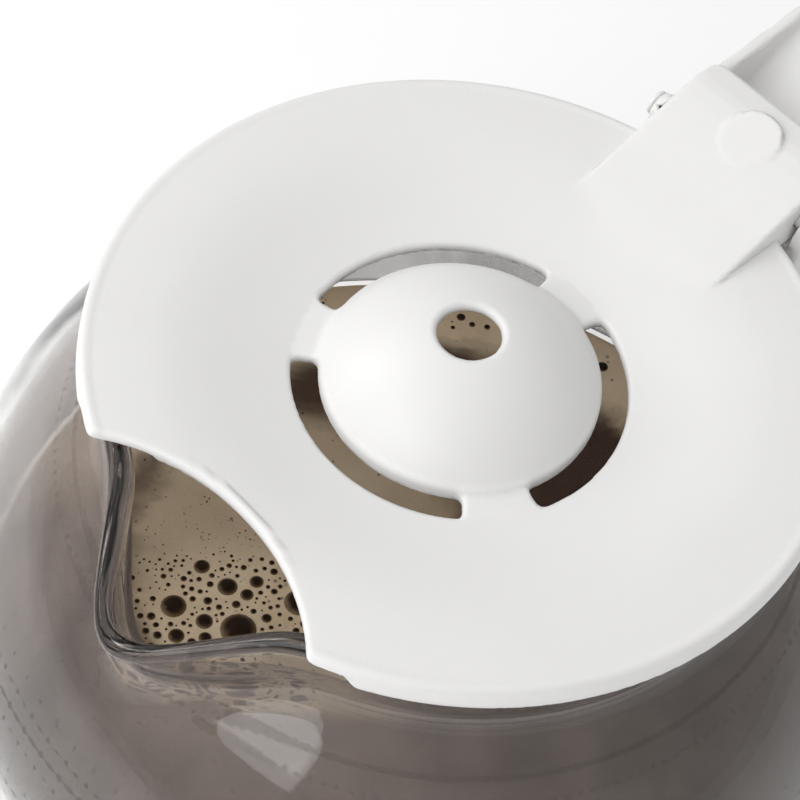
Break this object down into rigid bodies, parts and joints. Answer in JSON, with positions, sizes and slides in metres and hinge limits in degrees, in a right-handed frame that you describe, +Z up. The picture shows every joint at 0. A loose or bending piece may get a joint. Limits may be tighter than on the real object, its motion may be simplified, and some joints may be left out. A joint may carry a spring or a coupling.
{
  "type": "drip coffee carafe",
  "caption": "Round-bellied glass coffee jug with a pinched spout, a hinged moulded lid with a funnel and slotted dome, and a clamped D-shaped handle.",
  "frame": {"origin": "on the jug's axis, at the bottom of its flat base", "axes": "+X towards the handle, -X towards the spout, +Z up along the jug's axis"},
  "size_m": [0.2176, 0.167, 0.1458],
  "materials": {
    "glass": "clear borosilicate, fire polished",
    "white_plastic": "satin moulded polypropylene",
    "inner_plastic": "satin moulded polypropylene",
    "pin_plastic": "turned acetal",
    "steel": "brushed stainless strip",
    "zinc_steel": "bright zinc plated",
    "silicone": "soft matt"
  },
  "bodies": {
    "jug": {"glass_jug": "glass", "handle_shell": "white_plastic", "handle_cover": "inner_plastic", "cover_screws": "zinc_steel", "neck_bracket": "steel", "bracket_pad": "silicone", "bracket_screws": "zinc_steel", "clamp_band": "steel", "band_cushion": "silicone", "clamp_screw": "zinc_steel", "clamp_nut": "zinc_steel"},
    "lid": {"lid": "white_plastic", "hinge_pin": "pin_plastic", "pin_cap": "pin_plastic"}
  },
  "joints": [
    {"name": "lid_hinge", "type": "hinge", "parent": "jug", "child": "lid", "pos_m": [0.0635, 0, 0.1372], "axis": [0, 1, 0], "range_deg": [0, 95]}
  ]
}
